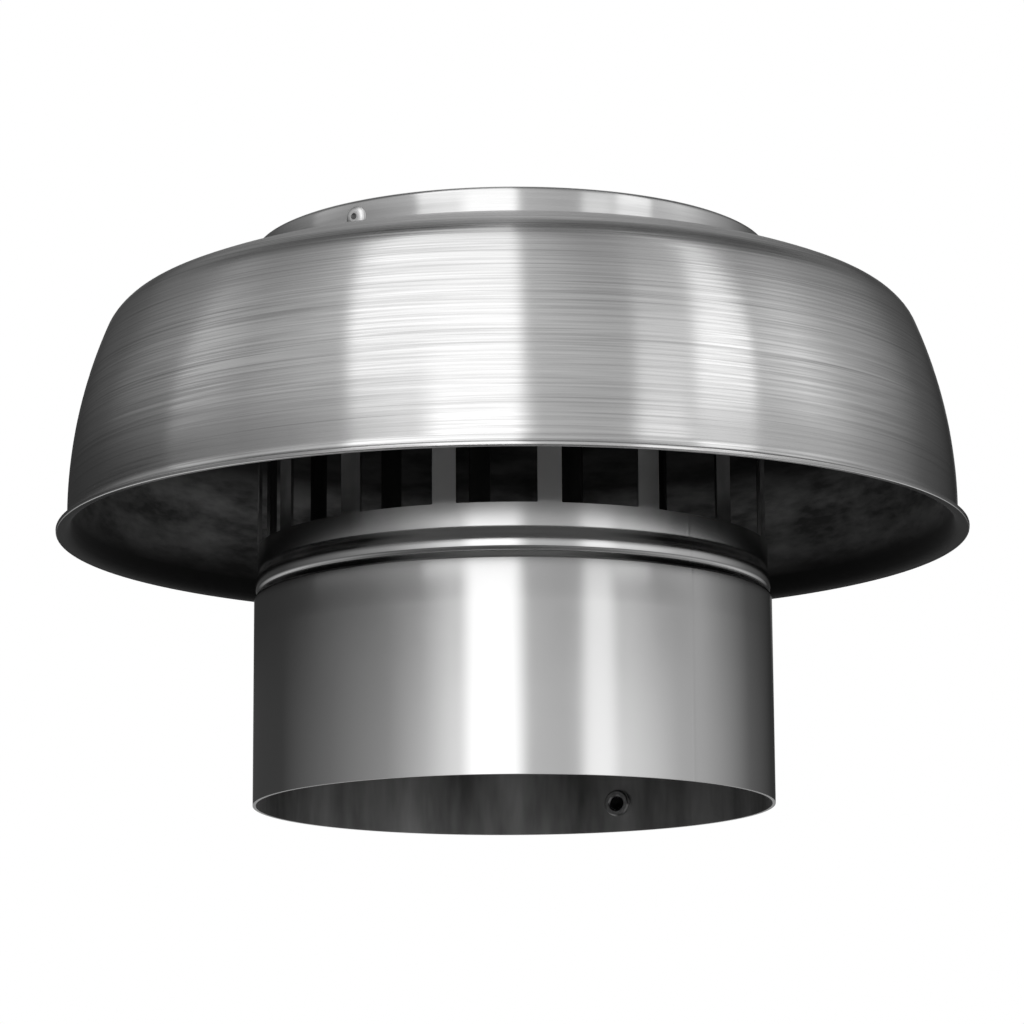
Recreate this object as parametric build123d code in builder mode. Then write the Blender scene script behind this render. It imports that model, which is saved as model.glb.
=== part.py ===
from build123d import *

import math
import os

# Mushroom cowl for a 150 mm round flue: a spun sheet dome riveted on a rolled tube.
# Millimetres. Z is the flue's axis, pointing up, and the tube's lower edge stands on Z = 0.
# Angles are in degrees from +X, counter-clockwise seen from above.

# Flue tube: plain spigot below, a swaged groove and bead, then the wall with the windows
tube_sheet = 0.9
spigot_r = 75.0
spigot_length = 58.9
groove_depth = 1.5
groove_height = 1.3
bead_rise = 1.5
bead_lower_height = 1.3
bead_face_height = 3.1
bead_upper_height = 3.4
upper_wall_inset = 0.8
step_bend_r = 0.9
groove_bend_r = 0.9
bead_bend_r = 0.9
bead_shoulder_bend_r = 2.0
bead_foot_bend_r = 6.4

# Outlet windows in the tube's wall, parted by narrow bars
window_count = 16
window_sill_z = 74.5
window_height = 50.0
window_corner_r = 0.3
bar_width = 6.8
first_bar_angle = 7.9

# Spun dome, from its cap down to the lip turned out at its foot; bends are measured on the outer face
dome_sheet = 1.2
cap_clearance = 0.5
cap_top_z = 163.2
dome_height = 78.9
cap_edge_r = 1.5
cap_height = 9.6
cap_foot_r = 0.5
tube_end_gap = 0.3
skirt_r = 129.0
skirt_curve_r = 138.0
skirt_turn = 22.3
shoulder_r = 15.7
shoulder_turn = 43.0
hem_height = 2.35
flare_r = 7.0
flare_turn = 15.0
lip_bend_r = 1.4
lip_bend_turn = 70.0
lip_length = 1.8
lip_edge_r = 0.35

# Blind rivets through the cap's wall and the tube's top end
rivet_count = 3
first_rivet_angle = -124.7
rivet_drop = 5.1
rivet_shank_r = 1.6
rivet_hole_clearance = 0.05
rivet_head_r = 3.05
rivet_head_height = 1.1
rivet_head_edge = 0.3
rivet_head_land_r = 1.4
rivet_bulb_r = 2.4
rivet_bulb_end_r = 1.6
rivet_bulb_length = 2.6
rivet_seat_clearance = 0.06
mandrel_r = 0.9
mandrel_clearance = 0.04
mandrel_recess = 0.4
mandrel_head_r = 1.5
mandrel_head_length = 1.3
mandrel_head_edge_r = 0.6

# Press nut for an M5 screw, clinched in the spigot's wall from inside and flush outside
nut_angle = 64.7
nut_z = 8.6
nut_body_r = 3.9
nut_body_height = 1.5
nut_body_chamfer = 0.35
nut_shank_r = 3.15
nut_hole_clearance = 0.05
nut_flush_recess = 0.1
nut_seat_clearance = 0.15
nut_thread_minor_r = 2.1
nut_mouth_chamfer = 0.45

# Sizes that follow from those above
tube_middle = tube_sheet / 2
dome_middle = dome_sheet / 2
spigot_inner_r = spigot_r - tube_sheet
groove_r = spigot_r - groove_depth
bead_r = groove_r + bead_rise
upper_r = spigot_r - upper_wall_inset
upper_inner_r = upper_r - tube_sheet
groove_z = spigot_length + groove_height
bead_z = groove_z + bead_lower_height
bead_shoulder_z = bead_z + bead_face_height
bead_foot_z = bead_shoulder_z + bead_upper_height
tube_top_z = cap_top_z - dome_sheet - tube_end_gap
window_width = 2 * math.pi * upper_r / window_count - bar_width
window_mid_z = window_sill_z + window_height / 2
first_window_angle = first_bar_angle + 180 / window_count
cap_r = upper_r + cap_clearance + dome_sheet
cap_foot_z = cap_top_z - cap_height
skirt_foot_z = cap_top_z - dome_height
hem_foot_z = skirt_foot_z - hem_height
rivet_z = cap_top_z - rivet_drop
rivet_hole_r = rivet_shank_r + rivet_hole_clearance
rivet_bore_r = mandrel_r + mandrel_clearance
rivet_seat = upper_inner_r - rivet_seat_clearance
rivet_bulb_end = rivet_seat - rivet_bulb_length
rivet_head_top = cap_r + rivet_head_height
nut_seat = spigot_inner_r - nut_seat_clearance
nut_inner_end = nut_seat - nut_body_height
nut_flush_end = spigot_r - nut_flush_recess
nut_hole_r = nut_shank_r + nut_hole_clearance

# Planes for the pieces that lie along a radius: the nut's faces, and the section and faces of one rivet
nut_direction = (math.cos(math.radians(nut_angle)), math.sin(math.radians(nut_angle)), 0)
nut_plane = Plane(origin=(0, 0, nut_z), x_dir=(0, 0, 1), z_dir=nut_direction)
nut_axis = Axis((0, 0, nut_z), nut_direction)
rivet_section = Plane(origin=(0, 0, rivet_z), x_dir=(1, 0, 0), z_dir=(0, -1, 0))
rivet_plane = Plane(origin=(0, 0, rivet_z), x_dir=(0, 1, 0), z_dir=(1, 0, 0))
rivet_axis = Axis((0, 0, rivet_z), (1, 0, 0))

os.makedirs("parts", exist_ok=True)

# Spun dome: the middle line of one sheet, from the cap's centre to the lip, turned about the flue
with BuildPart() as cowl_dome:
    with BuildSketch(Plane.XZ) as dome_section:
        with BuildLine() as dome_line:
            skirt_foot = (skirt_r - dome_middle, skirt_foot_z)
            cap_foot = (cap_r - dome_middle, cap_foot_z)
            cap_edge = (cap_r - dome_middle, cap_top_z - dome_middle)
            hem = Line(skirt_foot, (skirt_r - dome_middle, hem_foot_z))
            flare = JernArc(hem @ 1, hem % 1, flare_r + dome_middle, flare_turn)
            lip_bend = JernArc(flare @ 1, flare % 1, lip_bend_r + dome_middle, lip_bend_turn)
            Line(lip_bend @ 1, lip_bend @ 1 + (lip_bend % 1) * lip_length)
            skirt = JernArc(skirt_foot, (0, 1), skirt_curve_r - dome_middle, skirt_turn)
            shoulder = JernArc(skirt @ 1, skirt % 1, shoulder_r - dome_middle, shoulder_turn)
            TangentArc(shoulder @ 1, cap_foot, tangent=shoulder % 1)
            Line(cap_foot, cap_edge)
            Line(cap_edge, (0, cap_top_z - dome_middle))
            fillet(dome_line.vertices().sort_by_distance(cap_foot)[0], cap_foot_r + dome_middle)
            fillet(dome_line.vertices().sort_by_distance(cap_edge)[0], cap_edge_r - dome_middle)
        trace(line_width=dome_sheet)
        fillet(dome_section.vertices().sort_by(Axis.X)[-2:], lip_edge_r)
    revolve(axis=Axis.Z)
    with BuildSketch(rivet_plane):
        Circle(rivet_hole_r)
    cap_hole = extrude(amount=skirt_r, mode=Mode.PRIVATE)
    with PolarLocations(0, rivet_count, start_angle=first_rivet_angle):
        add(cap_hole, mode=Mode.SUBTRACT)

# Flue tube: one rolled sheet, swaged above the spigot and cut with a ring of windows
with BuildPart() as flue_tube:
    with BuildSketch(Plane.XZ):
        with BuildLine():
            FilletPolyline(
                (spigot_r - tube_middle, 0),
                (spigot_r - tube_middle, spigot_length),
                (groove_r - tube_middle, groove_z),
                (bead_r - tube_middle, bead_z),
                (bead_r - tube_middle, bead_shoulder_z),
                (upper_r - tube_middle, bead_foot_z),
                (upper_r - tube_middle, tube_top_z),
                radius=[step_bend_r, groove_bend_r, bead_bend_r, bead_shoulder_bend_r, bead_foot_bend_r],
            )
        trace(line_width=tube_sheet)
    revolve(axis=Axis.Z)
    with BuildSketch(Plane.YZ):
        with Locations((0, window_mid_z)):
            RectangleRounded(window_width, window_height, window_corner_r)
    window = extrude(amount=spigot_r, mode=Mode.PRIVATE)
    with PolarLocations(0, window_count, start_angle=first_window_angle):
        add(window, mode=Mode.SUBTRACT)
    with BuildSketch(rivet_plane):
        Circle(rivet_hole_r)
    tube_hole = extrude(amount=spigot_r, mode=Mode.PRIVATE)
    with PolarLocations(0, rivet_count, start_angle=first_rivet_angle):
        add(tube_hole, mode=Mode.SUBTRACT)
    with BuildSketch(nut_plane):
        Circle(nut_hole_r)
    extrude(amount=spigot_r, mode=Mode.SUBTRACT)

# Blind rivet, set: domed head outside the cap, bulb inside the tube, hollow for its mandrel
with BuildPart() as rivet_body:
    with BuildSketch(rivet_section):
        with BuildLine():
            Polyline(
                (rivet_bulb_end, rivet_bulb_end_r),
                (rivet_bulb_end, rivet_bore_r),
                (rivet_head_top, rivet_bore_r),
                (rivet_head_top, rivet_head_land_r),
            )
            TangentArc(
                (rivet_head_top, rivet_head_land_r),
                (cap_r + rivet_head_edge, rivet_head_r),
                tangent=(0, 1),
            )
            Polyline(
                (cap_r + rivet_head_edge, rivet_head_r),
                (cap_r, rivet_head_r),
                (cap_r, rivet_shank_r),
                (rivet_seat, rivet_shank_r),
                (rivet_seat, rivet_bulb_r),
            )
            TangentArc(
                (rivet_seat, rivet_bulb_r),
                (rivet_bulb_end, rivet_bulb_end_r),
                tangent=(-1, 0),
            )
        make_face()
    revolve(axis=rivet_axis)

# Broken mandrel that stays in the rivet, its head drawn up against the bulb
with BuildPart() as rivet_mandrel:
    with BuildSketch(rivet_plane.offset(rivet_bulb_end)):
        Circle(mandrel_head_r)
    extrude(amount=-mandrel_head_length)
    fillet(rivet_mandrel.faces().sort_by(Axis.X)[0].edges(), mandrel_head_edge_r)
    with BuildSketch(rivet_plane.offset(rivet_bulb_end)):
        Circle(mandrel_r)
    extrude(amount=rivet_head_top - mandrel_recess - rivet_bulb_end)

with BuildPart() as rivet_bodies:
    with PolarLocations(0, rivet_count, start_angle=first_rivet_angle):
        add(rivet_body.part)

with BuildPart() as rivet_mandrels:
    with PolarLocations(0, rivet_count, start_angle=first_rivet_angle):
        add(rivet_mandrel.part)

# Press nut: round body against the spigot's inner face, shank in its hole, bore for the M5 thread
with BuildPart() as press_nut:
    with BuildSketch(nut_plane.offset(nut_inner_end)):
        Circle(nut_body_r)
    extrude(amount=nut_body_height)
    chamfer(press_nut.faces().sort_by(nut_axis)[0].edges(), nut_body_chamfer)
    with BuildSketch(nut_plane.offset(nut_seat)):
        Circle(nut_shank_r)
    extrude(amount=nut_flush_end - nut_seat)
    with BuildSketch(nut_plane.offset(nut_inner_end)):
        Circle(nut_thread_minor_r)
    extrude(amount=nut_flush_end - nut_inner_end, mode=Mode.SUBTRACT)
    nut_mouth = press_nut.faces().sort_by(nut_axis)[0].edges().sort_by(SortBy.RADIUS)[0]
    chamfer(nut_mouth, nut_mouth_chamfer)

cowl_dome.part.label = "cowl_dome"
flue_tube.part.label = "flue_tube"
rivet_bodies.part.label = "rivet_bodies"
rivet_mandrels.part.label = "rivet_mandrels"
press_nut.part.label = "press_nut"
export_step(cowl_dome.part, "parts/cowl_dome.step")
export_step(flue_tube.part, "parts/flue_tube.step")
export_step(rivet_bodies.part, "parts/rivet_bodies.step")
export_step(rivet_mandrels.part, "parts/rivet_mandrels.step")
export_step(press_nut.part, "parts/press_nut.step")
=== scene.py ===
import math

import bpy
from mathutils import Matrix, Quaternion, Vector


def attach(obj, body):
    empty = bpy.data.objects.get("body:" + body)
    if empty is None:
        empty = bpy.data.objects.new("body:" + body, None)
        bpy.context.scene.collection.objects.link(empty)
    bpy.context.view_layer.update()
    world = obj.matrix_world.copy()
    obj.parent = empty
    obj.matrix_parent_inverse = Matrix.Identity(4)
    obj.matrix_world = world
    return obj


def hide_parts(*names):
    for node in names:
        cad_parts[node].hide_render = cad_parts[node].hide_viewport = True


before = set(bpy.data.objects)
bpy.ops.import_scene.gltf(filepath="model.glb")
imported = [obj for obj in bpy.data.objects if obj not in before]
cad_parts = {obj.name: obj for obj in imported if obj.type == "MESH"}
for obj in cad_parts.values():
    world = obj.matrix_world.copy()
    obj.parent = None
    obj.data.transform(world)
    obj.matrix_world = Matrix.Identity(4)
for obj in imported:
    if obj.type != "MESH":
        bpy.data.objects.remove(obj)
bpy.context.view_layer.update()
mm = 0.001
print("frame loaded")


# sRGB hex code to linear light
def hexToLinear(code):
    channels = [int(code[i:i + 2], 16) / 255 for i in (1, 3, 5)]
    return [c / 12.92 if c <= 0.04045 else ((c + 0.055) / 1.055) ** 2.4 for c in channels] + [1.0]


# adds a node, sets its properties, and fills or links its inputs by name or number
def addNode(tree, kind, inputs=None, **settings):
    node = tree.nodes.new(kind)
    for key, value in settings.items():
        setattr(node, key, value)
    for key, value in (inputs or {}).items():
        if isinstance(value, bpy.types.NodeSocket):
            tree.links.new(value, node.inputs[key])
        else:
            node.inputs[key].default_value = value
    return node


def newMaterial(name):
    material = bpy.data.materials.new(name)
    material.use_nodes = True
    material.node_tree.nodes.clear()
    return material, material.node_tree


# a section line is a list of (radius, height, normal radius part, normal height part), in mm
def arcLine(start, heading, radius, turn, step):
    count = max(2, math.ceil(abs(math.radians(turn)) * radius / step))
    side = 1 if turn > 0 else -1
    centre = (start[0] - side * radius * math.sin(heading), start[1] + side * radius * math.cos(heading))
    line = []
    for i in range(count + 1):
        angle = heading + math.radians(turn) * i / count
        line.append((centre[0] + side * radius * math.sin(angle), centre[1] - side * radius * math.cos(angle),
                     math.sin(angle), -math.cos(angle)))
    return line, heading + math.radians(turn)


def straightLine(start, end, step):
    length = math.dist(start, end)
    count = max(1, math.ceil(length / step))
    run = ((end[0] - start[0]) / length, (end[1] - start[1]) / length)
    return [(start[0] + run[0] * length * i / count, start[1] + run[1] * length * i / count, run[1], -run[0])
            for i in range(count + 1)]


# a line through corners, each inner corner rounded to its own radius
def roundedLine(corners, radii, step, bendStep=0.35):
    line = []
    begin = corners[0]
    for i in range(1, len(corners) - 1):
        a, b, c = corners[i - 1], corners[i], corners[i + 1]
        before = math.atan2(b[1] - a[1], b[0] - a[0])
        after = math.atan2(c[1] - b[1], c[0] - b[0])
        turn = math.remainder(after - before, 2 * math.pi)
        cut = radii[i - 1] * math.tan(abs(turn) / 2)
        bendStart = (b[0] - cut * math.cos(before), b[1] - cut * math.sin(before))
        line += straightLine(begin, bendStart, step)
        bend = arcLine(bendStart, before, radii[i - 1], math.degrees(turn), min(step, bendStep))[0]
        line += bend[1:]
        begin = bend[-1][:2]
    line += straightLine(begin, corners[-1], step)[1:]
    return line


def offsetLine(line, distance):
    return [(r + nr * distance, z + nz * distance) for r, z, nr, nz in line]


def withoutRepeats(points, leastGap=0.004):
    kept = [points[0]]
    for point in points[1:]:
        if math.dist(point, kept[-1]) > leastGap:
            kept.append(point)
    return kept


# draws a section in the XZ plane from one point by extruding, then spins it about Z
def spinSection(name, points, steps, closed):
    bpy.ops.object.select_all(action="DESELECT")
    bpy.ops.mesh.primitive_plane_add(size=mm)
    piece = bpy.context.object
    piece.name = name
    piece.data.name = name
    bpy.ops.object.mode_set(mode="EDIT")
    bpy.ops.mesh.merge(type="CENTER")
    bpy.ops.transform.translate(value=(points[0][0] * mm, 0, points[0][1] * mm))
    for a, b in zip(points, points[1:]):
        move = ((b[0] - a[0]) * mm, 0, (b[1] - a[1]) * mm)
        bpy.ops.mesh.extrude_region_move(TRANSFORM_OT_translate={"value": move})
    bpy.ops.mesh.select_all(action="SELECT")
    if closed:
        bpy.ops.mesh.remove_doubles(threshold=0.001 * mm)
    bpy.ops.mesh.spin(steps=steps, angle=2 * math.pi, center=(0, 0, 0), axis=(0, 0, 1))
    bpy.ops.mesh.select_all(action="SELECT")
    bpy.ops.mesh.remove_doubles(threshold=0.002 * mm)
    bpy.ops.mesh.normals_make_consistent(inside=False)
    bpy.ops.object.mode_set(mode="OBJECT")
    return piece


def selectOnly(piece):
    bpy.ops.object.select_all(action="DESELECT")
    piece.select_set(True)
    bpy.context.view_layer.objects.active = piece


def smoothBelow(piece, degrees):
    selectOnly(piece)
    bpy.ops.object.shade_smooth_by_angle(angle=math.radians(degrees))


# cuts a shape out of a piece and removes the cutter
def cutAway(piece, cutter):
    selectOnly(piece)
    modifier = piece.modifiers.new("cut", "BOOLEAN")
    modifier.operation = "DIFFERENCE"
    modifier.solver = "EXACT"
    modifier.object = cutter
    bpy.ops.object.modifier_apply(modifier="cut")
    bpy.data.objects.remove(cutter)


# spun dome: one sheet from the cap's centre to the lip turned out at its foot
domeCowl = {
    "sheet": 1.2, "steps": 200, "smoothAngle": 40,
    "skirtFoot": (128.4, 84.3), "skirtRadius": 137.4, "skirtTurn": 22.3,
    "shoulderRadius": 15.1, "shoulderTurn": 43.0,
    "hemFoot": 81.95, "flareRadius": 7.6, "flareTurn": 15.0,
    "lipBend": 2.0, "lipTurn": 70.0, "lipLength": 1.8, "lipEdge": 0.35, "lipEdgeSteps": 6,
    "capRadius": 75.3, "capFoot": 153.6, "capTop": 162.6, "capFootBend": 1.1, "capEdgeBend": 0.9,
    "lineStep": 0.32, "insideStep": 2.2, "bendStep": 0.3, "lipStep": 0.5, "capStep": 4.0,
    "ridgePitch": 1.35, "ridgeHeight": 0.010, "scoreEvery": 5.3, "scoreDepth": 0.022, "scoreWidth": 0.35,
    # ridges begin at this height and radius, and are whole this much further on
    "ridgeFoot": 88, "ridgeFootFade": 18, "ridgeInner": 80, "ridgeInnerFade": 26,
}


def domeLine(step):
    d = domeCowl
    hem = straightLine(d["skirtFoot"], (d["skirtFoot"][0], d["hemFoot"]), step)
    flare, heading = arcLine(hem[-1][:2], -math.pi / 2, d["flareRadius"], d["flareTurn"], d["bendStep"])
    bend, heading = arcLine(flare[-1][:2], heading, d["lipBend"], d["lipTurn"], d["bendStep"])
    reach = d["lipLength"] - d["lipEdge"]
    end = (bend[-1][0] + reach * math.cos(heading), bend[-1][1] + reach * math.sin(heading))
    lip = straightLine(bend[-1][:2], end, d["lipStep"])
    lower = [(r, z, -nr, -nz) for r, z, nr, nz in hem + flare[1:] + bend[1:] + lip[1:]][::-1]
    skirt, heading = arcLine(d["skirtFoot"], math.pi / 2, d["skirtRadius"], d["skirtTurn"], step)
    shoulder, heading = arcLine(skirt[-1][:2], heading, d["shoulderRadius"], d["shoulderTurn"], step)
    # the crown leaves the shoulder smoothly and meets the cap's foot
    start = shoulder[-1][:2]
    capFoot = (d["capRadius"], d["capFoot"])
    toFoot = math.atan2(capFoot[1] - start[1], capFoot[0] - start[0])
    lean = math.remainder(toFoot - heading, 2 * math.pi)
    radius = math.dist(start, capFoot) / (2 * math.sin(abs(lean)))
    crown = arcLine(start, heading, radius, math.degrees(2 * lean), step)[0]
    while math.dist(crown[-1][:2], capFoot) < d["capFootBend"]:
        crown.pop()
    heading = math.atan2(crown[-1][2], -crown[-1][3])
    footBend = (crown[-1][0] - d["capRadius"]) / (1 - math.sin(heading))
    foot = arcLine(crown[-1][:2], heading, footBend, 90 - math.degrees(heading), d["bendStep"])[0]
    capCorners = [foot[-1][:2], (d["capRadius"], d["capTop"]), (0, d["capTop"])]
    cap = roundedLine(capCorners, [d["capEdgeBend"]], d["capStep"])
    return lower + skirt[1:] + shoulder[1:] + crown[1:] + foot[1:] + cap[1:]


# tool ridges left by spinning: strong on skirt and shoulder, fading over the crown and towards the lip
def toolRidge(r, z, along):
    d = domeCowl
    if z < d["ridgeFoot"] or r < d["ridgeInner"]:
        return 0.0
    fade = min(1.0, (z - d["ridgeFoot"]) / d["ridgeFootFade"], (r - d["ridgeInner"]) / d["ridgeInnerFade"])
    # slow sines make the ridges' strength and spacing waver, so that no two are alike
    strength = 0.55 + 0.45 * math.sin(along * 0.61 + 1.3 * math.sin(along * 0.17))
    phase = 2 * math.pi * along / d["ridgePitch"] + 0.8 * math.sin(along * 0.43)
    ridge = d["ridgeHeight"] * strength * math.sin(phase)
    place = (along + 1.7 * math.sin(along * 0.9)) % d["scoreEvery"]
    score = d["scoreDepth"] * math.exp(-((place - d["scoreEvery"] / 2) / d["scoreWidth"]) ** 2)
    return fade * (ridge - score)


# the lip's cut end, its two corners rounded, from the outer face to the inner one
def lipEnd():
    d = domeCowl
    r, z, nr, nz = domeLine(d["capStep"])[0]
    edge, count = d["lipEdge"], d["lipEdgeSteps"]
    flat = d["sheet"] / 2 - edge
    points = []
    for side in (1, -1):
        for i in range(count + 1):
            angle = math.pi / 2 * (1 - i / count if side > 0 else i / count)
            rise = side * (flat + edge * math.sin(angle))
            reach = edge * math.cos(angle)
            points.append((r + nr * rise + nz * reach, z + nz * rise - nr * reach))
    return points


def buildDome():
    half = domeCowl["sheet"] / 2
    outside = []
    along = 0.0
    last = None
    for r, z, nr, nz in domeLine(domeCowl["lineStep"]):
        along += math.dist((r, z), last) if last else 0.0
        last = (r, z)
        rise = half + toolRidge(r, z, along)
        outside.append((max(0.0, r + nr * rise), z + nz * rise))
    inside = offsetLine(domeLine(domeCowl["insideStep"]), -half)
    inside = [(max(0.0, r), z) for r, z in inside]
    section = withoutRepeats(outside[::-1] + lipEnd() + inside)
    dome = spinSection("domeShell", section, domeCowl["steps"], False)
    smoothBelow(dome, domeCowl["smoothAngle"])
    return dome


dome = buildDome()
print("dome spun", len(dome.data.polygons), [round(v / mm, 2) for v in dome.dimensions])


# flue tube: spigot, swaged groove and bead, then the wall with its windows
tubeRun = {
    "sheet": 0.9, "steps": 240, "lineStep": 12.0, "smoothAngle": 35,
    # the sheet's middle line, whose wall draws in from the windows down to the bead, as swaging leaves it
    "corners": [(74.55, 0), (74.55, 59.3), (73.1, 61.5), (74.1, 62.3), (74.1, 65.1), (73.36, 67.3),
                (73.75, 75.5), (73.75, 161.7)],
    "bends": [0.9, 0.55, 0.5, 5.5, 5.0, 40.0],
    "windows": 16, "sill": 74.5, "windowHeight": 50.0, "cornerBend": 0.3, "barWidth": 6.8, "firstBar": 7.9,
    "wallRadius": 74.2, "cutterDepth": 30.0, "cutterCentre": 74.0,
    "nutAngle": 64.7, "nutHeight": 8.6, "nutHole": 3.2, "nutSides": 48, "nutCut": (64, 84),
    "seamAngle": -49.0, "seamWidth": 0.9, "seamRise": 0.05, "seamInner": 73.6, "seamReach": 0.02,
}


def windowCutters():
    t = tubeRun
    width = 2 * math.pi * t["wallRadius"] / t["windows"] - t["barWidth"]
    angle = math.radians(t["firstBar"] + 180 / t["windows"])
    bpy.ops.object.select_all(action="DESELECT")
    bpy.ops.mesh.primitive_cube_add(size=1, location=(0, 0, 0))
    cutter = bpy.context.object
    cutter.name = "windowCutter"
    bpy.ops.object.mode_set(mode="EDIT")
    bpy.ops.transform.resize(value=(t["cutterDepth"] * mm, width * mm, t["windowHeight"] * mm))
    bpy.ops.object.mode_set(mode="OBJECT")
    # only the four edges that run through the sheet are rounded
    for edge in cutter.data.edges:
        a, b = (cutter.data.vertices[i].co for i in edge.vertices)
        edge.select = abs(a.x - b.x) > t["cutterDepth"] / 2 * mm
    bpy.ops.object.mode_set(mode="EDIT")
    bpy.ops.mesh.select_mode(type="EDGE")
    bpy.ops.mesh.bevel(offset=t["cornerBend"] * mm, segments=2)
    bpy.ops.mesh.select_all(action="SELECT")
    middle = t["sill"] + t["windowHeight"] / 2
    bpy.ops.transform.translate(value=(t["cutterCentre"] * mm, 0, middle * mm))
    bpy.ops.transform.rotate(value=-angle, orient_axis="Z", center_override=(0, 0, 0))
    bpy.ops.mesh.spin(steps=t["windows"], dupli=True, angle=2 * math.pi, center=(0, 0, 0), axis=(0, 0, 1))
    bpy.ops.mesh.select_all(action="SELECT")
    bpy.ops.mesh.remove_doubles(threshold=0.01 * mm)
    bpy.ops.mesh.normals_make_consistent(inside=False)
    bpy.ops.mesh.select_mode(type="VERT")
    bpy.ops.object.mode_set(mode="OBJECT")
    return cutter


# a cylinder on the press nut's axis, between two distances from the flue's axis
def radialCylinder(name, sides, radius, inner, outer):
    t = tubeRun
    bpy.ops.object.select_all(action="DESELECT")
    bpy.ops.mesh.primitive_cylinder_add(vertices=sides, radius=radius * mm, depth=(outer - inner) * mm)
    piece = bpy.context.object
    piece.name = name
    piece.data.name = name
    bpy.ops.object.mode_set(mode="EDIT")
    bpy.ops.transform.rotate(value=math.pi / 2, orient_axis="Y", center_override=(0, 0, 0))
    bpy.ops.transform.translate(value=((inner + outer) / 2 * mm, 0, t["nutHeight"] * mm))
    bpy.ops.transform.rotate(value=-math.radians(t["nutAngle"]), orient_axis="Z", center_override=(0, 0, 0))
    bpy.ops.object.mode_set(mode="OBJECT")
    return piece


# butt-welded seam: a thin raised line that runs up the sheet, ground nearly flush
def raiseSeam(tube):
    t = tubeRun
    selectOnly(tube)
    bpy.ops.object.mode_set(mode="EDIT")
    angle = math.radians(t["seamAngle"])
    across = Vector((-math.sin(angle), math.cos(angle), 0))
    for side in (-1, 0, 1):
        bpy.ops.mesh.select_all(action="SELECT")
        bpy.ops.mesh.bisect(plane_co=across * side * t["seamWidth"] / 2 * mm, plane_no=across)
    bpy.ops.object.mode_set(mode="OBJECT")
    out = Vector((math.cos(angle), math.sin(angle), 0))
    for vertex in tube.data.vertices:
        onLine = abs(vertex.co.dot(across)) < t["seamReach"] * mm and vertex.co.dot(out) > 0
        if onLine and math.hypot(vertex.co.x, vertex.co.y) > t["seamInner"] * mm:
            vertex.co += out * t["seamRise"] * mm


def buildTube():
    t = tubeRun
    half = t["sheet"] / 2
    line = roundedLine(t["corners"], t["bends"], t["lineStep"])
    section = offsetLine(line, half) + offsetLine(line, -half)[::-1]
    section = withoutRepeats(section) + [section[0]]
    tube = spinSection("tubeShell", section, t["steps"], True)
    raiseSeam(tube)
    cutAway(tube, windowCutters())
    cutAway(tube, radialCylinder("nutHoleCutter", t["nutSides"], t["nutHole"], *t["nutCut"]))
    smoothBelow(tube, t["smoothAngle"])
    return tube


tube = buildTube()
print("tube swaged and cut", len(tube.data.polygons), [round(v / mm, 2) for v in tube.dimensions])


# M5 cup-point set screw that closes the nut's bore, with its hexagon socket outside
setScrew = {
    "radius": 2.04, "inner": 73.2, "outer": 74.8, "sides": 48, "smoothAngle": 30,
    "cupRim": 0.6, "cupDepth": 0.7, "cupFloor": 0.15,
    "socketRadius": 1.44, "socketDepth": 0.8, "socketClear": 2.0,
}


def buildSetScrew():
    d = setScrew
    screw = radialCylinder("setScrew", d["sides"], d["radius"], d["inner"], d["outer"])
    socket = radialCylinder("socketCutter", 6, d["socketRadius"], d["outer"] - d["socketDepth"],
                            d["outer"] + d["socketClear"])
    bpy.ops.object.select_all(action="DESELECT")
    bpy.context.view_layer.objects.active = screw
    bpy.ops.object.mode_set(mode="EDIT")
    bpy.ops.mesh.select_mode(type="FACE")
    bpy.ops.mesh.select_all(action="DESELECT")
    bpy.ops.object.mode_set(mode="OBJECT")
    innerEnd = min(screw.data.polygons, key=lambda face: math.hypot(face.center.x, face.center.y))
    innerEnd.select = True
    outward = -innerEnd.normal
    bpy.ops.object.mode_set(mode="EDIT")
    bpy.ops.mesh.inset(thickness=d["cupRim"] * mm)
    bpy.ops.mesh.extrude_region_move(TRANSFORM_OT_translate={"value": outward * d["cupDepth"] * mm})
    bpy.ops.transform.resize(value=(d["cupFloor"], d["cupFloor"], d["cupFloor"]))
    bpy.ops.mesh.select_mode(type="VERT")
    bpy.ops.object.mode_set(mode="OBJECT")
    cutAway(screw, socket)
    smoothBelow(screw, d["smoothAngle"])
    return screw


screw = buildSetScrew()
print("set screw made", len(screw.data.polygons))


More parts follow.
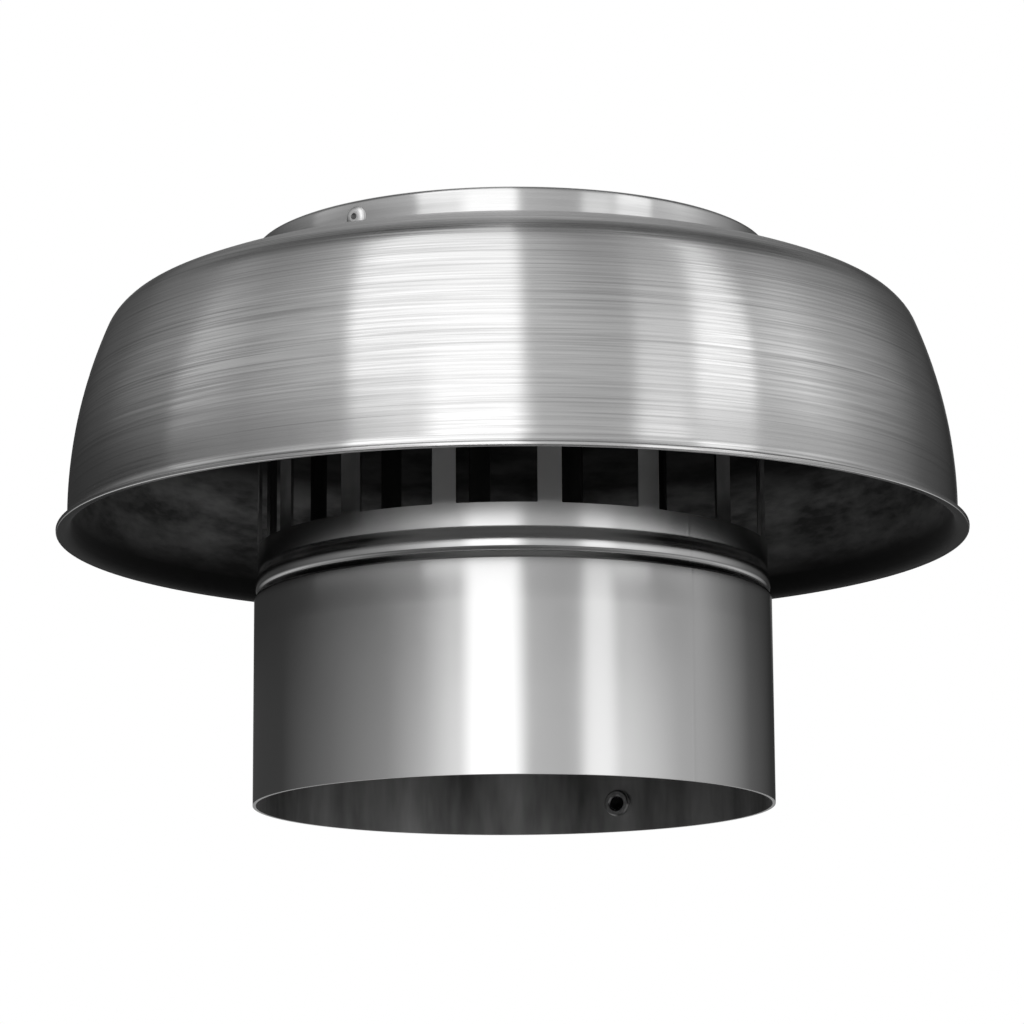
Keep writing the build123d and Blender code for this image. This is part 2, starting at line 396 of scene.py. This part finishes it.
# spun aluminium: concentric tool lines stretch every reflection across them, so bands run down the dome
def spunAluminium():
    material, tree = newMaterial("spunAluminium")
    place = addNode(tree, "ShaderNodeTexCoord")
    parts = addNode(tree, "ShaderNodeSeparateXYZ", {0: place.outputs["Object"]})
    flat = addNode(tree, "ShaderNodeCombineXYZ", {"X": parts.outputs["X"], "Y": parts.outputs["Y"]})
    radius = addNode(tree, "ShaderNodeVectorMath", {0: flat.outputs[0]}, operation="LENGTH")
    turn = addNode(tree, "ShaderNodeVectorMath", {0: flat.outputs[0]}, operation="NORMALIZE")
    along = addNode(tree, "ShaderNodeMath", {0: parts.outputs["Z"], 1: radius.outputs["Value"]},
                    operation="SUBTRACT")
    # tool lines 0.7 mm apart, each drawn out over a few centimetres of the circle
    lineCoord = addNode(tree, "ShaderNodeMath", {0: along.outputs[0], 1: 1 / (0.7 * mm)}, operation="MULTIPLY")
    rise = addNode(tree, "ShaderNodeCombineXYZ", {"Z": lineCoord.outputs[0]})
    streakAt = addNode(tree, "ShaderNodeVectorMath", {
        0: turn.outputs[0], 1: (2.2, 2.2, 0), 2: rise.outputs[0]}, operation="MULTIPLY_ADD")
    streak = addNode(tree, "ShaderNodeTexNoise", {
        "Vector": streakAt.outputs[0], "Scale": 1.0, "Detail": 3.0, "Roughness": 0.6})
    # longer, deeper scores, in groups where the tool chattered
    scoreAt = addNode(tree, "ShaderNodeVectorMath", {
        0: turn.outputs[0], 1: (1.2, 1.2, 0), 2: rise.outputs[0]}, operation="MULTIPLY_ADD")
    score = addNode(tree, "ShaderNodeTexNoise", {"Vector": scoreAt.outputs[0], "Scale": 1.0, "Detail": 1.0})
    groupAt = addNode(tree, "ShaderNodeVectorMath", {
        0: turn.outputs[0], 1: (1.5, 1.5, 0), 2: rise.outputs[0]}, operation="MULTIPLY_ADD")
    group = addNode(tree, "ShaderNodeTexNoise", {"Vector": groupAt.outputs[0], "Scale": 0.06, "Detail": 2.0})
    scored = addNode(tree, "ShaderNodeMapRange", {
        "Value": score.outputs["Fac"], "From Min": 0.55, "From Max": 0.64})
    grouped = addNode(tree, "ShaderNodeMapRange", {
        "Value": group.outputs["Fac"], "From Min": 0.4, "From Max": 0.62, "To Min": 0.04, "To Max": 0.38})
    # the crown was finished finer than the skirt: no scores and fainter lines
    onSkirt = addNode(tree, "ShaderNodeMapRange", {
        "Value": radius.outputs["Value"], "From Min": 84 * mm, "From Max": 106 * mm})
    # the scores are cut into the bump and also painted darker, as painted shade in the grooves
    depth = addNode(tree, "ShaderNodeMath", {0: scored.outputs[0], 1: grouped.outputs[0]}, operation="MULTIPLY")
    depth = addNode(tree, "ShaderNodeMath", {0: depth.outputs[0], 1: onSkirt.outputs[0]}, operation="MULTIPLY")
    faint = addNode(tree, "ShaderNodeMapRange", {
        "Value": streak.outputs["Fac"], "From Min": 0.2, "From Max": 0.8, "To Min": 0.42, "To Max": 0.58})
    lines = addNode(tree, "ShaderNodeMix", {
        "Factor": onSkirt.outputs[0], "A": faint.outputs[0], "B": streak.outputs["Fac"]}).outputs["Result"]
    sheen = addNode(tree, "ShaderNodeMapRange", {"Value": lines, "From Min": 0.36, "From Max": 0.62})
    metal = addNode(tree, "ShaderNodeMix", {
        "Factor": sheen.outputs[0], "A": hexToLinear("#d3d3d3"), "B": hexToLinear("#e4e4e4")}, data_type="RGBA")
    # painted shade: the scores are coloured darker
    colour = addNode(tree, "ShaderNodeMix", {
        "Factor": depth.outputs[0], "A": metal.outputs["Result"], "B": hexToLinear("#777777")}, data_type="RGBA")
    smudge = addNode(tree, "ShaderNodeTexNoise", {
        "Vector": place.outputs["Object"], "Scale": 1 / (28 * mm), "Detail": 4.0})
    dulled = addNode(tree, "ShaderNodeMapRange", {
        "Value": lines, "From Min": 0.35, "From Max": 0.65, "To Min": 0.21, "To Max": 0.11})
    smudged = addNode(tree, "ShaderNodeMapRange", {
        "Value": smudge.outputs["Fac"], "From Min": 0.3, "From Max": 0.7, "To Min": 0.0, "To Max": 0.04})
    gloss = addNode(tree, "ShaderNodeMath", {0: dulled.outputs[0], 1: smudged.outputs[0]}, operation="ADD")
    height = addNode(tree, "ShaderNodeMath", {0: lines, 1: depth.outputs[0]}, operation="SUBTRACT")
    bump = addNode(tree, "ShaderNodeBump", {
        "Strength": 0.3, "Distance": 0.03 * mm, "Height": height.outputs[0]})
    tangent = addNode(tree, "ShaderNodeTangent", direction_type="RADIAL", axis="Z")
    shader = addNode(tree, "ShaderNodeBsdfPrincipled", {
        "Base Color": colour.outputs["Result"], "Metallic": 1.0, "Roughness": gloss.outputs[0],
        "Anisotropic": 1.0, "Anisotropic Rotation": 0.25, "Tangent": tangent.outputs[0],
        "Normal": bump.outputs[0]})
    addNode(tree, "ShaderNodeOutputMaterial", {"Surface": shader.outputs[0]})
    return material


# rolled aluminium sheet in mill finish: smooth satin, a fine mottle and a few soft handling marks
def rolledAluminium():
    material, tree = newMaterial("rolledAluminium")
    place = addNode(tree, "ShaderNodeTexCoord")
    smudge = addNode(tree, "ShaderNodeTexNoise", {
        "Vector": place.outputs["Object"], "Scale": 1 / (26 * mm), "Detail": 3.0})
    # the real mottle is finer than 1 mm, drawn coarser so that it shows
    mottleMap = addNode(tree, "ShaderNodeMapping", {"Vector": place.outputs["Object"], "Scale": (1.0, 1.0, 1.6)})
    mottle = addNode(tree, "ShaderNodeTexNoise", {
        "Vector": mottleMap.outputs[0], "Scale": 1 / (1.6 * mm), "Detail": 3.0})
    colour = addNode(tree, "ShaderNodeMix", {
        "Factor": smudge.outputs["Fac"], "A": hexToLinear("#d2d2d2"), "B": hexToLinear("#dfdfdf")},
        data_type="RGBA")
    gloss = addNode(tree, "ShaderNodeMapRange", {
        "Value": smudge.outputs["Fac"], "From Min": 0.3, "From Max": 0.7, "To Min": 0.13, "To Max": 0.16})
    bump = addNode(tree, "ShaderNodeBump", {
        "Strength": 0.12, "Distance": 0.01 * mm, "Height": mottle.outputs["Fac"]})
    tangent = addNode(tree, "ShaderNodeTangent", direction_type="RADIAL", axis="Z")
    shader = addNode(tree, "ShaderNodeBsdfPrincipled", {
        "Base Color": colour.outputs["Result"], "Metallic": 1.0, "Roughness": gloss.outputs[0],
        "Anisotropic": 0.4, "Anisotropic Rotation": 0.25, "Tangent": tangent.outputs[0],
        "Normal": bump.outputs[0]})
    addNode(tree, "ShaderNodeOutputMaterial", {"Surface": shader.outputs[0]})
    return material


# inside of the sheet: the same aluminium left dull and smeared by handling,
# its foot and its top darkened as painted shade, and the dome's front made pale as painted light
def dullInside(name, dark, light, stretch, foot, topShadeHeights):
    material, tree = newMaterial(name)
    place = addNode(tree, "ShaderNodeTexCoord")
    parts = addNode(tree, "ShaderNodeSeparateXYZ", {0: place.outputs["Object"]})
    smearMap = addNode(tree, "ShaderNodeMapping", {
        "Vector": place.outputs["Object"], "Scale": (1.0, 1.0, stretch)})
    smear = addNode(tree, "ShaderNodeTexNoise", {
        "Vector": smearMap.outputs[0], "Scale": 1 / (30 * mm), "Detail": 5.0, "Roughness": 0.55})
    spots = addNode(tree, "ShaderNodeTexNoise", {
        "Vector": smearMap.outputs[0], "Scale": 1 / (6 * mm), "Detail": 3.0})
    blend = addNode(tree, "ShaderNodeMath", {0: spots.outputs["Fac"], 1: 0.3, 2: smear.outputs["Fac"]},
                    operation="MULTIPLY_ADD")
    amount = addNode(tree, "ShaderNodeMapRange", {
        "Value": blend.outputs[0], "From Min": 0.5, "From Max": 0.82})
    # painted shade: below the foot heights the colour is painted near black and is not metal
    aboveFootShade = addNode(tree, "ShaderNodeMapRange", {
        "Value": parts.outputs["Z"], "From Min": foot[0] * mm, "From Max": foot[1] * mm})
    # painted shade: above these heights the top of the inside is painted darker
    paintedTopShade = addNode(tree, "ShaderNodeMapRange", {
        "Value": parts.outputs["Z"], "From Min": topShadeHeights[0] * mm, "From Max": topShadeHeights[1] * mm, "To Max": 0.9})
    # painted light: the dome's front inside, nearest the camera, is painted pale
    paintedFrontLight = addNode(tree, "ShaderNodeMapRange", {
        "Value": parts.outputs["Y"], "From Min": -74 * mm, "From Max": -108 * mm})
    colour = addNode(tree, "ShaderNodeMix", {
        "Factor": amount.outputs[0], "A": hexToLinear(dark), "B": hexToLinear(light)}, data_type="RGBA")
    # painted shade over the top
    colour = addNode(tree, "ShaderNodeMix", {
        "Factor": paintedTopShade.outputs[0], "A": colour.outputs["Result"], "B": hexToLinear("#1c1c1c")},
        data_type="RGBA")
    # painted shade at the foot
    colour = addNode(tree, "ShaderNodeMix", {
        "Factor": aboveFootShade.outputs[0], "A": hexToLinear("#161616"), "B": colour.outputs["Result"]},
        data_type="RGBA")
    # painted light on the front
    colour = addNode(tree, "ShaderNodeMix", {
        "Factor": paintedFrontLight.outputs[0], "A": colour.outputs["Result"], "B": hexToLinear("#d8d8d8")},
        data_type="RGBA")
    # the painted shade at the foot and the painted light at the front are rough and not metal
    metalOutsidePaint = addNode(tree, "ShaderNodeMath", {0: aboveFootShade.outputs[0], 1: paintedFrontLight.outputs[0]},
                        operation="SUBTRACT", use_clamp=True)
    metalGloss = addNode(tree, "ShaderNodeMapRange", {
        "Value": smear.outputs["Fac"], "From Min": 0.3, "From Max": 0.7, "To Min": 0.55, "To Max": 0.4})
    gloss = addNode(tree, "ShaderNodeMix", {
        "Factor": metalOutsidePaint.outputs[0], "A": 0.85, "B": metalGloss.outputs[0]})
    bump = addNode(tree, "ShaderNodeBump", {
        "Strength": 0.15, "Distance": 0.04 * mm, "Height": spots.outputs["Fac"]})
    tangent = addNode(tree, "ShaderNodeTangent", direction_type="RADIAL", axis="Z")
    shader = addNode(tree, "ShaderNodeBsdfPrincipled", {
        "Base Color": colour.outputs["Result"], "Metallic": metalOutsidePaint.outputs[0],
        "Roughness": gloss.outputs["Result"], "Anisotropic": 0.6, "Anisotropic Rotation": 0.25,
        "Tangent": tangent.outputs[0], "Normal": bump.outputs[0]})
    addNode(tree, "ShaderNodeOutputMaterial", {"Surface": shader.outputs[0]})
    return material


# plain bright or dull metal for the small fixings
def fixingMetal(name, dark, light, roughness):
    material, tree = newMaterial(name)
    place = addNode(tree, "ShaderNodeTexCoord")
    speckle = addNode(tree, "ShaderNodeTexNoise", {
        "Vector": place.outputs["Object"], "Scale": 1 / (0.8 * mm), "Detail": 3.0})
    colour = addNode(tree, "ShaderNodeMix", {
        "Factor": speckle.outputs["Fac"], "A": hexToLinear(dark), "B": hexToLinear(light)}, data_type="RGBA")
    bump = addNode(tree, "ShaderNodeBump", {
        "Strength": 0.2, "Distance": 0.02 * mm, "Height": speckle.outputs["Fac"]})
    shader = addNode(tree, "ShaderNodeBsdfPrincipled", {
        "Base Color": colour.outputs["Result"], "Metallic": 1.0, "Roughness": roughness,
        "Normal": bump.outputs[0]})
    addNode(tree, "ShaderNodeOutputMaterial", {"Surface": shader.outputs[0]})
    return material


def putMaterial(piece, material):
    piece.data.materials.clear()
    piece.data.materials.append(material)


# faces that look towards a point in the sheet's hollow take the second finish, cut edges keep the first
def finishInside(piece, material, hollow, leastCosine=0.15):
    piece.data.materials.append(material)
    for face in piece.data.polygons:
        centre, normal = face.center, face.normal
        reach = math.hypot(centre.x, centre.y) or 1e-9
        outward = (normal.x * centre.x + normal.y * centre.y) / reach
        across, up = hollow[0] * mm - reach, hollow[1] * mm - centre.z
        looksIn = across * outward + up * normal.z > leastCosine * math.hypot(across, up)
        face.material_index = 1 if looksIn else 0


putMaterial(dome, spunAluminium())
# the dome's inside: painted shade at the foot and over the top, painted light on the front
domeInside = dullInside("dullSpunInside", "#5e5e5e", "#b4b4b4", stretch=3.2, foot=(84, 96), topShadeHeights=(106, 118))
finishInside(dome, domeInside, hollow=(50, 60))
putMaterial(tube, rolledAluminium())
# the tube's foot gets no painted shade: its dark foot would end below the edge
tubeInside = dullInside("dullTubeInside", "#707070", "#cecece", stretch=0.2, foot=(-20, -10), topShadeHeights=(60, 90))
finishInside(tube, tubeInside, hollow=(0, 80))
putMaterial(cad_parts["rivet_bodies"], fixingMetal("brightRivetAluminium", "#e8e8e8", "#f7f7f7", 0.4))
putMaterial(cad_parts["rivet_mandrels"], fixingMetal("dullMandrelSteel", "#5d5d5d", "#8b8b8b", 0.45))
putMaterial(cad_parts["press_nut"], fixingMetal("platedNutSteel", "#9c9c9c", "#c8c8c8", 0.35))
putMaterial(screw, fixingMetal("blackOxideSteel", "#161616", "#262626", 0.5))
print("materials made")

for piece, node, slotName in ((dome, "cowl_dome", "spun_aluminium"), (tube, "flue_tube", "rolled_aluminium")):
    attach(piece, "root")
    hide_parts(node)
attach(screw, "root")


# studio: white to the eye, inside a light tent of bright and dark cards that the metal shows
studio = {
    "tentRadius": 2.6, "tentLevel": 2.0, "worldFill": 0.5,
    # elevation at which a row is whole, its level, and what hangs there
    "rows": [
        (-75, 0.05, "bounce"), (-50, 0.65, "bounce"), (-28, 0.65, "bounce"), (-16, 0.3, "bounce"),
        (-5, 0.85, "low"), (7, 1.05, "low"), (8.9, 1.0, "low"), (10.3, 1.0, "eave"), (14.5, 1.0, "eave"),
        (22, 1.0, "high"), (32, 1.0, "high"), (52, 1.0, "upper"), (68, 0.72, "upper"), (78, 0.45, "upper"),
    ],
    # the upright cards in front spread about this azimuth as they rise, those at the sides don't
    "spreadFrom": (14, 1.0), "spreadTo": (50, 0.785), "spreadCentre": 3, "spreadWithin": (60, 88),
    # shade: (azimuth from the camera, level); cards: (left edge, right edge, softness of the edges, level)
    "bounce": {
        "shade": [(-180, 1.8), (-150, 1.1), (-110, 0.6), (-60, 0.22), (0, 0.2), (45, 0.35), (110, 0.7),
                  (150, 1.1), (180, 1.8)],
        "cards": [],
    },
    "low": {
        "shade": [(-180, 0.45), (-166, 0.05), (-120, 0.055), (-86, 0.18), (-55, 0.36), (-38, 0.68), (-26, 1.03),
                  (8, 0.66), (22, 0.62), (50, 0.95), (64, 0.76), (75, 0.55), (90, 0.47), (104, 0.34), (124, 0.13),
                  (154, 0.035), (166, 0.03), (180, 0.45)],
        "cards": [(-20, 3.6, 6, 1.6), (29.5, 44.5, 5, 1.28)],
    },
    "eave": {
        "shade": [(-180, 0.4), (-166, 0.03), (-101, 0.045), (-60, 0.15), (-40, 0.25), (-27, 0.6), (8, 0.5),
                  (20, 0.42), (50, 0.48), (66, 0.3), (88, 0.4), (104, 0.22), (124, 0.09), (160, 0.02), (180, 0.4)],
        "cards": [(-20, 3.2, 6, 1.5), (30.5, 43, 5, 0.98)],
    },
    "high": {
        "shade": [(-180, 0.4), (-160, 0.06), (-132, 0.12), (-120, 0.2), (-98.5, 0.35), (-95.5, 0.62), (-70, 0.46),
                  (-42, 0.62), (8, 0.6), (26, 0.53), (64, 0.76), (80, 0.9), (88, 0.74), (98, 0.5), (120, 0.26),
                  (134, 0.12), (160, 0.05), (180, 0.4)],
        "cards": [(-38.3, 3.0, 3.0, 1.36), (29.4, 44.3, 2, 0.84), (44.3, 60.5, 2.5, 1.45)],
    },
    "upper": {
        "shade": [(-180, 0.5), (-150, 0.3), (-121, 0.07), (-85, 0.19), (-54, 0.36), (-42, 0.6), (8, 0.58),
                  (22, 0.38), (43, 0.42), (62, 0.26), (77, 0.2), (98, 0.1), (130, 0.05), (152, 0.3), (180, 0.5)],
        "cards": [(-39.5, 2.8, 3.5, 1.36), (47, 58, 3, 0.92)],
    },
    # the floor is painted near the part and glows white further out
    "floorSize": 12.0, "floorColour": "#f2f2f2", "floorDrop": 0.2, "glowNear": (0.15, 0.45), "glowFar": (1.3, 1.0),
}


def shadeAt(shade, azimuth):
    for (a, low), (b, high) in zip(shade, shade[1:]):
        if a <= azimuth <= b:
            return low + (high - low) * (azimuth - a) / (b - a)


# a row's ramp stops: its shade, with each card cut in
def rowStops(row):
    stops = row["shade"]
    for left, right, soft, level in row["cards"]:
        begin, end = left - soft / 2, right + soft / 2
        card = [(begin, shadeAt(stops, begin)), (left + soft / 2, level),
                (right - soft / 2, level), (end, shadeAt(stops, end))]
        stops = [s for s in stops if s[0] < begin] + card + [s for s in stops if s[0] > end]
    return stops


def buildTent():
    bpy.ops.object.select_all(action="DESELECT")
    bpy.ops.mesh.primitive_uv_sphere_add(segments=48, ring_count=24, radius=studio["tentRadius"])
    tent = bpy.context.object
    tent.name = "lightTent"
    material, tree = newMaterial("tentCards")
    place = addNode(tree, "ShaderNodeTexCoord")
    way = addNode(tree, "ShaderNodeVectorMath", {0: place.outputs["Object"]}, operation="NORMALIZE")
    parts = addNode(tree, "ShaderNodeSeparateXYZ", {0: way.outputs[0]})
    away = addNode(tree, "ShaderNodeMath", {0: parts.outputs["Y"], 1: -1.0}, operation="MULTIPLY")
    angle = addNode(tree, "ShaderNodeMath", {0: parts.outputs["X"], 1: away.outputs[0]}, operation="ARCTAN2")
    (lowEdge, whole), (highEdge, narrow) = studio["spreadFrom"], studio["spreadTo"]
    spread = addNode(tree, "ShaderNodeMapRange", {
        "Value": parts.outputs["Z"], "From Min": math.sin(math.radians(lowEdge)),
        "From Max": math.sin(math.radians(highEdge)), "To Min": whole, "To Max": narrow})
    centre = math.radians(studio["spreadCentre"])
    fromCentre = addNode(tree, "ShaderNodeMath", {0: angle.outputs[0], 1: centre}, operation="SUBTRACT")
    aside = addNode(tree, "ShaderNodeMath", {0: fromCentre.outputs[0]}, operation="ABSOLUTE")
    inner, outer = (math.radians(edge) for edge in studio["spreadWithin"])
    upright = addNode(tree, "ShaderNodeMapRange", {
        "Value": aside.outputs[0], "From Min": inner, "From Max": outer})
    drawing = addNode(tree, "ShaderNodeMix", {"Factor": upright.outputs[0], "A": spread.outputs[0], "B": 1.0})
    drawn = addNode(tree, "ShaderNodeMath", {0: fromCentre.outputs[0], 1: drawing.outputs["Result"], 2: centre},
                    operation="MULTIPLY_ADD")
    share = addNode(tree, "ShaderNodeMath", {0: drawn.outputs[0], 1: 1 / (2 * math.pi), 2: 0.5},
                    operation="MULTIPLY_ADD")
    ramps = {}
    for name in ("bounce", "low", "eave", "high", "upper"):
        ramps[name] = addNode(tree, "ShaderNodeValToRGB", {0: share.outputs[0]})
        band = ramps[name].color_ramp
        stops = rowStops(studio[name])
        while len(band.elements) < len(stops):
            band.elements.new(0.5)
        for element, (azimuth, level) in zip(band.elements, stops):
            element.position = azimuth / 360 + 0.5
            element.color = [level / studio["tentLevel"]] * 3 + [1.0]
    # the rows are blended from the lowest up
    look = None
    below = None
    for elevation, level, name in studio["rows"]:
        row = addNode(tree, "ShaderNodeMath", {0: ramps[name].outputs[0], 1: level}, operation="MULTIPLY")
        height = math.sin(math.radians(elevation))
        if look is None:
            look = row.outputs[0]
        else:
            rise = addNode(tree, "ShaderNodeMapRange", {
                "Value": parts.outputs["Z"], "From Min": below, "From Max": height})
            look = addNode(tree, "ShaderNodeMix", {
                "Factor": rise.outputs[0], "A": look, "B": row.outputs[0]}).outputs["Result"]
        below = height
    glow = addNode(tree, "ShaderNodeEmission", {"Color": look, "Strength": studio["tentLevel"]})
    addNode(tree, "ShaderNodeOutputMaterial", {"Surface": glow.outputs[0]})
    putMaterial(tent, material)
    tent.visible_camera = False
    tent.visible_shadow = False


# the floor shows from above only, because the photograph is taken from below it
def buildFloor():
    bpy.ops.object.select_all(action="DESELECT")
    bpy.ops.mesh.primitive_plane_add(size=studio["floorSize"], location=(0, 0, -studio["floorDrop"] * mm))
    floor = bpy.context.object
    floor.name = "studioFloor"
    material, tree = newMaterial("paleFloor")
    facing = addNode(tree, "ShaderNodeNewGeometry")
    clear = addNode(tree, "ShaderNodeBsdfTransparent")
    place = addNode(tree, "ShaderNodeTexCoord")
    distance = addNode(tree, "ShaderNodeVectorMath", {0: place.outputs["Object"]}, operation="LENGTH")
    (near, least), (far, most) = studio["glowNear"], studio["glowFar"]
    glowing = addNode(tree, "ShaderNodeMapRange", {
        "Value": distance.outputs["Value"], "From Min": near, "From Max": far, "To Min": least, "To Max": most})
    paint = addNode(tree, "ShaderNodeBsdfDiffuse", {"Color": hexToLinear(studio["floorColour"])})
    glow = addNode(tree, "ShaderNodeEmission", {"Strength": 1.0})
    front = addNode(tree, "ShaderNodeMixShader", {0: glowing.outputs[0], 1: paint.outputs[0], 2: glow.outputs[0]})
    side = addNode(tree, "ShaderNodeMixShader", {
        0: facing.outputs["Backfacing"], 1: front.outputs[0], 2: clear.outputs[0]})
    addNode(tree, "ShaderNodeOutputMaterial", {"Surface": side.outputs[0]})
    putMaterial(floor, material)
    floor.visible_glossy = False
    floor.visible_diffuse = False


def buildWorld():
    world = bpy.data.worlds.new("studioWorld")
    bpy.context.scene.world = world
    world.use_nodes = True
    tree = world.node_tree
    tree.nodes.clear()
    path = addNode(tree, "ShaderNodeLightPath")
    seen = addNode(tree, "ShaderNodeMath", {
        0: path.outputs["Is Camera Ray"], 1: path.outputs["Is Glossy Ray"]}, operation="MAXIMUM")
    seen = addNode(tree, "ShaderNodeMath", {
        0: seen.outputs[0], 1: path.outputs["Is Transmission Ray"]}, operation="MAXIMUM")
    level = addNode(tree, "ShaderNodeMapRange", {
        "Value": seen.outputs[0], "To Min": studio["worldFill"], "To Max": 1.0})
    back = addNode(tree, "ShaderNodeBackground", {"Color": (1, 1, 1, 1), "Strength": level.outputs[0]})
    addNode(tree, "ShaderNodeOutputWorld", {"Surface": back.outputs[0]})


buildTent()
buildFloor()
buildWorld()
print("studio set up")


# the photograph's view: from in front, a little below the spigot's edge, looking up
shot = {
    "place": (0.0, -1.0966, -0.12915), "pitch": 11.11, "roll": -0.327,
    "lens": 134.74, "sensor": 36, "shiftX": -0.0005, "clipStart": 0.01,
}


def buildCamera():
    data = bpy.data.cameras.new("photoCamera")
    data.sensor_width = shot["sensor"]
    data.lens = shot["lens"]
    data.shift_x = shot["shiftX"]
    data.clip_start = shot["clipStart"]
    camera = bpy.data.objects.new("photoCamera", data)
    bpy.context.scene.collection.objects.link(camera)
    camera.location = shot["place"]
    camera.rotation_mode = "QUATERNION"
    camera.rotation_quaternion = (Quaternion((1, 0, 0), math.radians(90 + shot["pitch"]))
                                  @ Quaternion((0, 0, 1), math.radians(shot["roll"])))
    bpy.context.scene.camera = camera


buildCamera()
bpy.context.scene.view_settings.view_transform = "Standard"
print("camera placed")
